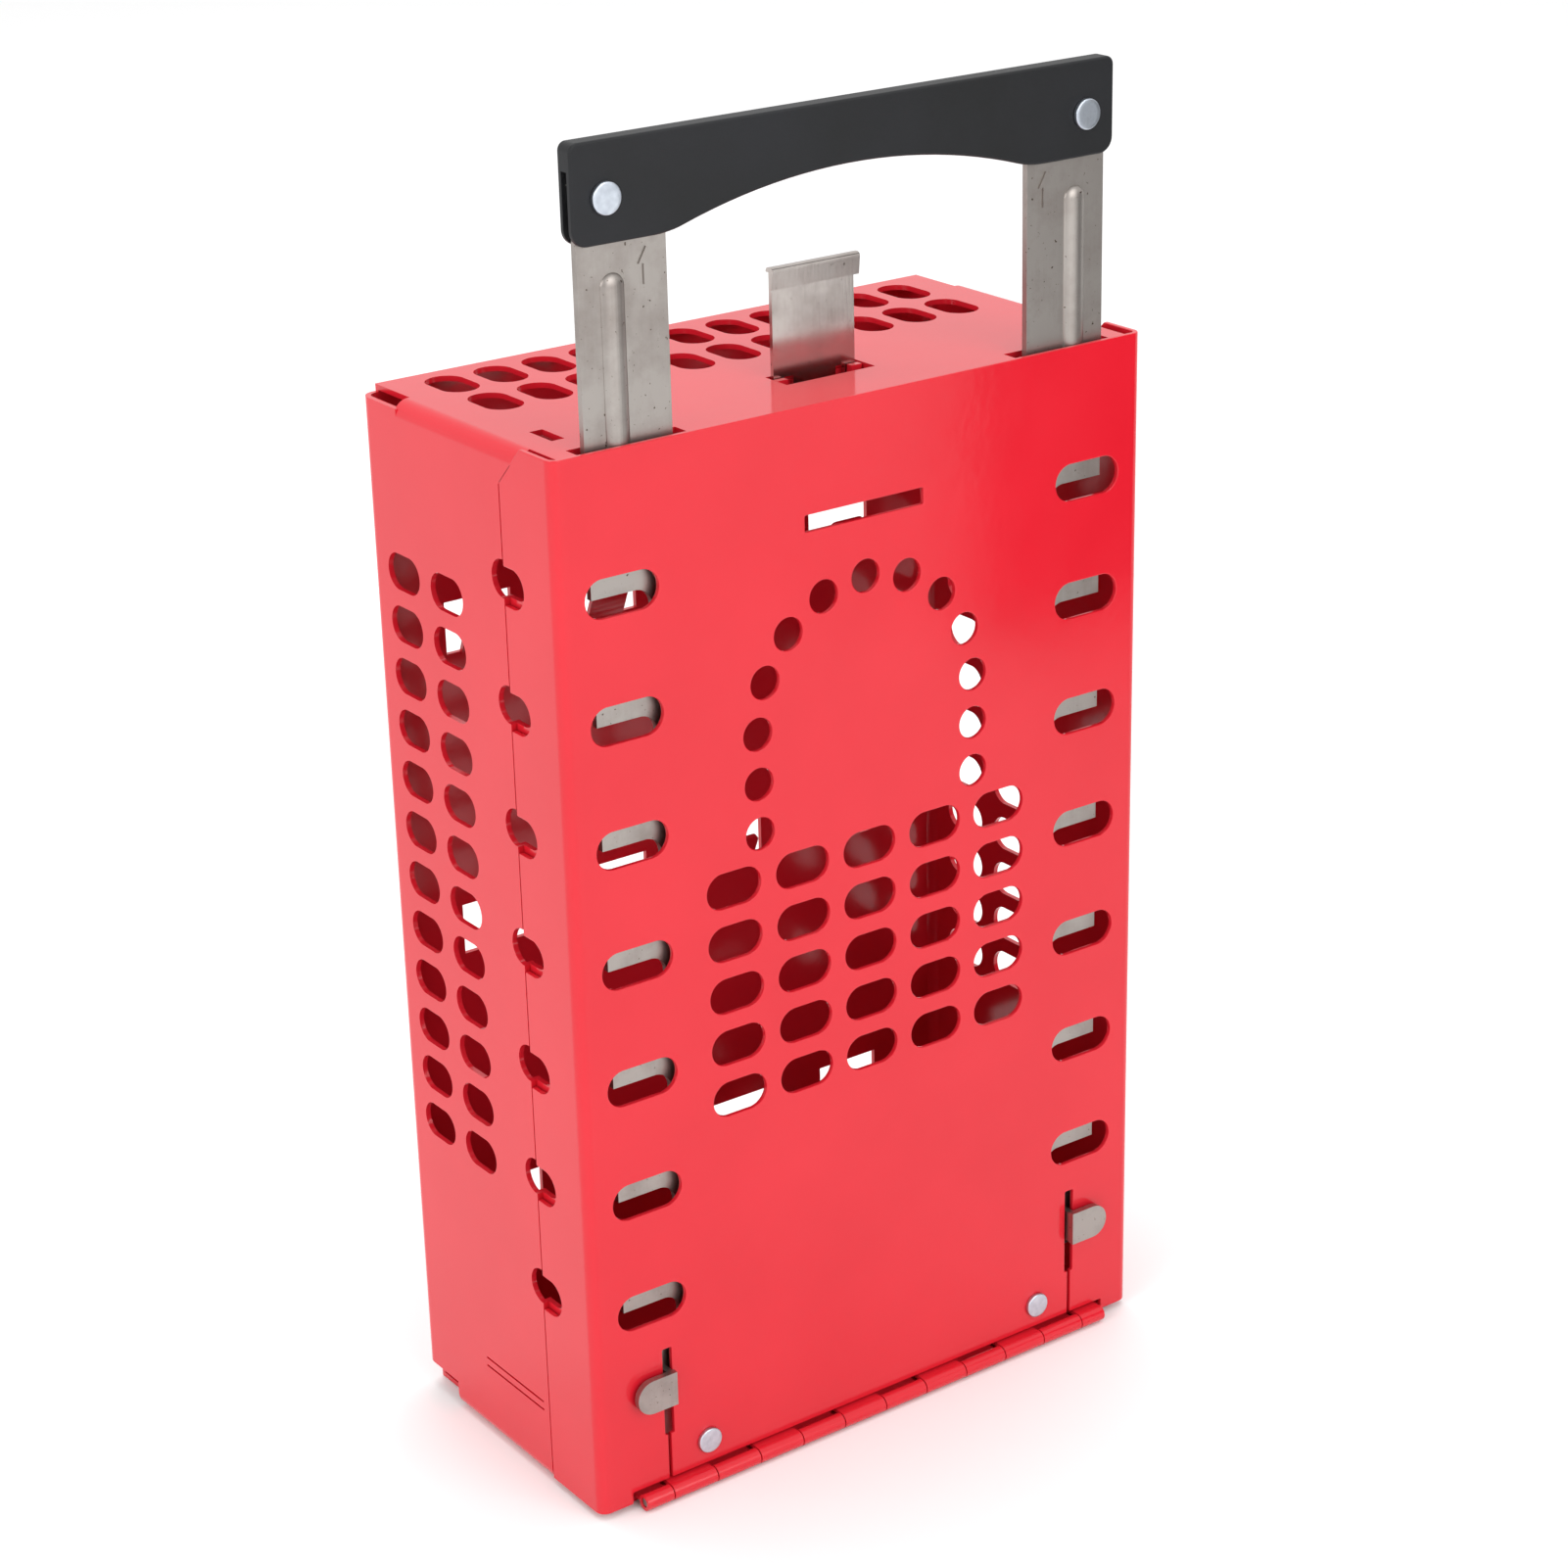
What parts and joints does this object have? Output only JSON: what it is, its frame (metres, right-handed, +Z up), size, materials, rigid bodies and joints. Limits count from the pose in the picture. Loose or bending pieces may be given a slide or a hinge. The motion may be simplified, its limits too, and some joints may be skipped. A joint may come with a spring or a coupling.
{
  "type": "group lockout box",
  "caption": "Portable sheet-steel group lockout box: hinged front door, sliding bars with padlock notches on a carrying handle, and a sliding top latch.",
  "frame": {"origin": "centre of the case's underside, on the floor it stands on", "axes": "+Z up towards the handle, -Y the front with the door, +X to the right as seen from the front"},
  "size_m": [0.153, 0.0785, 0.3038],
  "materials": {
    "red_powder_coat": "glossy red powder coat over sheet steel",
    "bare_stainless": "bare rolled stainless strip, slightly stained",
    "zinc_rivets": "bright zinc plate",
    "black_coated_grip": "satin black coating"
  },
  "bodies": {
    "case": {"top_plate": "red_powder_coat", "bottom_plate": "red_powder_coat", "left_side": "red_powder_coat", "right_side": "red_powder_coat", "back_panel": "red_powder_coat", "hinge_body_leaf": "red_powder_coat", "hinge_pin": "bare_stainless", "hinge_rivet_body_left": "zinc_rivets", "hinge_rivet_body_right": "zinc_rivets", "latch_guide": "red_powder_coat"},
    "door": {"door_panel": "red_powder_coat", "door_catch": "bare_stainless", "bar_guide_left": "bare_stainless", "bar_guide_right": "bare_stainless", "hinge_door_leaf": "red_powder_coat", "hinge_rivet_door_left": "zinc_rivets", "hinge_rivet_door_right": "zinc_rivets"},
    "handle": {"bar_left": "bare_stainless", "bar_right": "bare_stainless", "handle_grip": "black_coated_grip", "handle_rivet_left": "zinc_rivets", "handle_rivet_right": "zinc_rivets"},
    "latch": {"latch_strip": "bare_stainless"}
  },
  "joints": [
    {"name": "door_hinge", "type": "hinge", "parent": "case", "child": "door", "pos_m": [0, -0.0391, 0.0019], "axis": [1, 0, 0], "range_deg": [0, 90]},
    {"name": "handle_slide", "type": "slide", "parent": "door", "child": "handle", "axis": [0, 0, 1], "range_m": [-0.0084, 0.005]},
    {"name": "latch_slide", "type": "slide", "parent": "case", "child": "latch", "axis": [0, 0, 1], "range_m": [-0.005, 0]}
  ]
}
